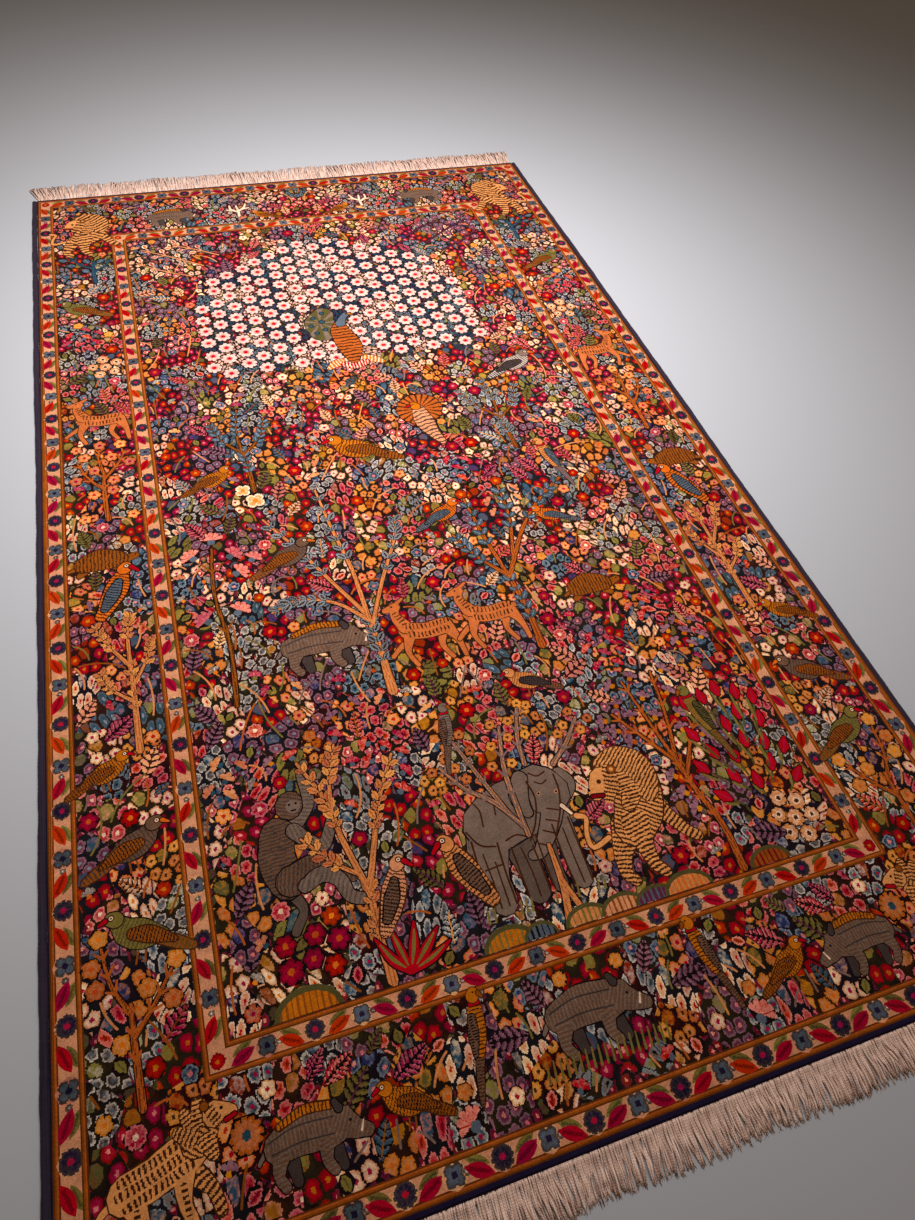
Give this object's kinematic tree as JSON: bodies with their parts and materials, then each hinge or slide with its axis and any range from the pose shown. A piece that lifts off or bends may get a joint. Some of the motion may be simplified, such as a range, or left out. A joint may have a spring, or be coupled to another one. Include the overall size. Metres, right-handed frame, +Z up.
{
  "type": "persian rug",
  "caption": "Flat hand-knotted pile rug with a bordered garden pattern of flowers, trees, birds and beasts, overcast long edges and fringed ends.",
  "frame": {"origin": "on the floor, under the middle of the whole outline with its fringes", "axes": "+Y along the rug to its far fringe, +X across it to the right, +Z up out of the pile"},
  "size_m": [1.3989, 2.536, 0.009],
  "materials": {
    "pile": "knotted wool pile",
    "selvedge": "overcast navy wool",
    "fringe": "twisted cotton warp ends"
  },
  "bodies": {
    "root": {"rug_body": "pile", "selvedge_left": "selvedge", "selvedge_right": "selvedge", "fringe_far": "fringe", "fringe_near": "fringe"}
  },
  "joints": []
}
